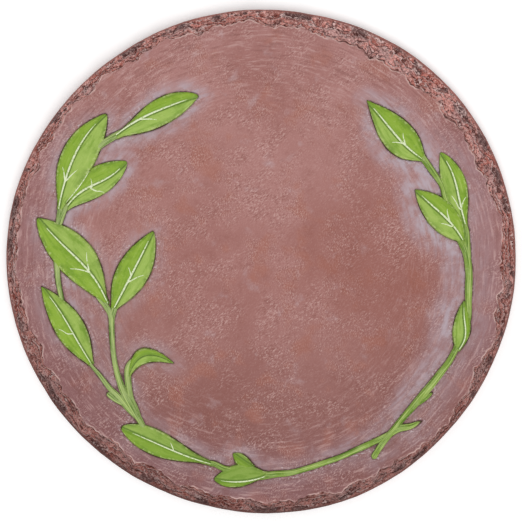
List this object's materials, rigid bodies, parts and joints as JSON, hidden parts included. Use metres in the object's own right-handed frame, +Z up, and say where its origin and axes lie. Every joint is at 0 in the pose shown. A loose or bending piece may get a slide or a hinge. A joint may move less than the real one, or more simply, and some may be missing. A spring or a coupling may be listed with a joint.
{
  "type": "garden stepping stone",
  "caption": "Round cast concrete garden stepping stone with a chipped split-stone rim and a leafy sprig wreath in low relief on its flat tread face.",
  "frame": {"origin": "centre of the flat base", "axes": "+Z up through the tread face, +X to the right and +Y to the top of the wreath, seen from above with the stems crossing at the lower right"},
  "size_m": [0.305, 0.305, 0.0285],
  "materials": {
    "concrete": "terracotta-coloured cast concrete, matt and slightly gritty, rim broken, leaves and stems painted green"
  },
  "bodies": {
    "root": {"stepping_stone": "concrete"}
  },
  "joints": []
}
